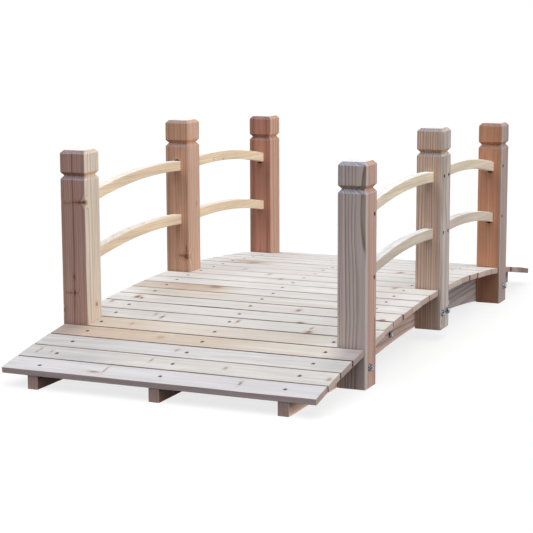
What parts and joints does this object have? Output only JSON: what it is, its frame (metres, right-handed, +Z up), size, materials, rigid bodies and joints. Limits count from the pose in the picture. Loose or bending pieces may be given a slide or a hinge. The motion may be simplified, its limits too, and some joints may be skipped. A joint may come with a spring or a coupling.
{
  "type": "arched garden bridge",
  "caption": "Low arched timber garden bridge: a plank deck on curved stringers, with groove-capped posts and bowed handrails along both sides.",
  "frame": {"origin": "on the ground, under the middle of the bridge", "axes": "+X along the walkway towards the far end, +Y across to the left railing, +Z up"},
  "size_m": [1.5196, 0.68, 0.475],
  "materials": {
    "deck_timber": "planed, unfinished",
    "post_timber": "planed, unfinished",
    "rail_timber": "planed, unfinished",
    "stringer_timber": "sawn, unfinished"
  },
  "bodies": {
    "root": {"deck_plank_01": "deck_timber", "deck_plank_02": "deck_timber", "deck_plank_03": "deck_timber", "deck_plank_04": "deck_timber", "deck_plank_05": "deck_timber", "deck_plank_06": "deck_timber", "deck_plank_07": "deck_timber", "deck_plank_08": "deck_timber", "deck_plank_09": "deck_timber", "deck_plank_10": "deck_timber", "deck_plank_11": "deck_timber", "deck_plank_12": "deck_timber", "deck_plank_13": "deck_timber", "deck_plank_14": "deck_timber", "deck_plank_15": "deck_timber", "deck_plank_16": "deck_timber", "deck_plank_17": "deck_timber", "deck_plank_18": "deck_timber", "deck_plank_19": "deck_timber", "deck_plank_20": "deck_timber", "deck_plank_21": "deck_timber", "deck_plank_22": "deck_timber", "deck_plank_23": "deck_timber", "deck_plank_24": "deck_timber", "deck_plank_25": "deck_timber", "post_far_left": "post_timber", "post_far_right": "post_timber", "post_mid_left": "post_timber", "post_mid_right": "post_timber", "post_near_left": "post_timber", "post_near_right": "post_timber", "rail_lower_far_left": "rail_timber", "rail_lower_far_right": "rail_timber", "rail_lower_near_left": "rail_timber", "rail_lower_near_right": "rail_timber", "rail_upper_far_left": "rail_timber", "rail_upper_far_right": "rail_timber", "rail_upper_near_left": "rail_timber", "rail_upper_near_right": "rail_timber", "splice_centre": "stringer_timber", "splice_left": "stringer_timber", "splice_right": "stringer_timber", "stringer_far_centre": "stringer_timber", "stringer_far_left": "stringer_timber", "stringer_far_right": "stringer_timber", "stringer_near_centre": "stringer_timber", "stringer_near_left": "stringer_timber", "stringer_near_right": "stringer_timber"}
  },
  "joints": []
}
